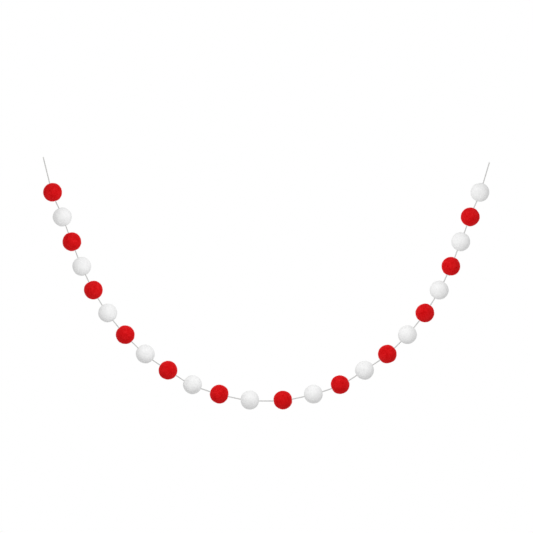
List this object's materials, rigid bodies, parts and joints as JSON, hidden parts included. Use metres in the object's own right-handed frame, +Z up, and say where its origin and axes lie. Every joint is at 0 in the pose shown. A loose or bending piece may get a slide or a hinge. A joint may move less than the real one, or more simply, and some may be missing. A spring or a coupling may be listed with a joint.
{
  "type": "felt ball garland",
  "caption": "Garland of round felt balls, red and white in turn, threaded through their middles on one thin string that hangs in a deep swag between its two cut ends.",
  "frame": {"origin": "tip of the string's left end, where the garland is tied up", "axes": "+X runs from the left end to the right end along the swag, +Z is up, and +Y goes away from the viewer, across the plane in which the garland hangs"},
  "size_m": [0.4809, 0.02, 0.2712],
  "materials": {
    "red_felt": "matte felted wool with a short lighter fuzz, slightly mottled",
    "white_felt": "matte felted wool with a short soft fuzz",
    "string": "matte off-white twisted cotton string"
  },
  "bodies": {
    "root": {"string": "string", "ball_01_red": "red_felt", "ball_02_white": "white_felt", "ball_03_red": "red_felt", "ball_04_white": "white_felt", "ball_05_red": "red_felt", "ball_06_white": "white_felt", "ball_07_red": "red_felt", "ball_08_white": "white_felt", "ball_09_red": "red_felt", "ball_10_white": "white_felt", "ball_11_red": "red_felt", "ball_12_white": "white_felt", "ball_13_red": "red_felt", "ball_14_white": "white_felt", "ball_15_red": "red_felt", "ball_16_white": "white_felt", "ball_17_red": "red_felt", "ball_18_white": "white_felt", "ball_19_red": "red_felt", "ball_20_white": "white_felt", "ball_21_red": "red_felt", "ball_22_white": "white_felt", "ball_23_red": "red_felt", "ball_24_white": "white_felt"}
  },
  "joints": []
}
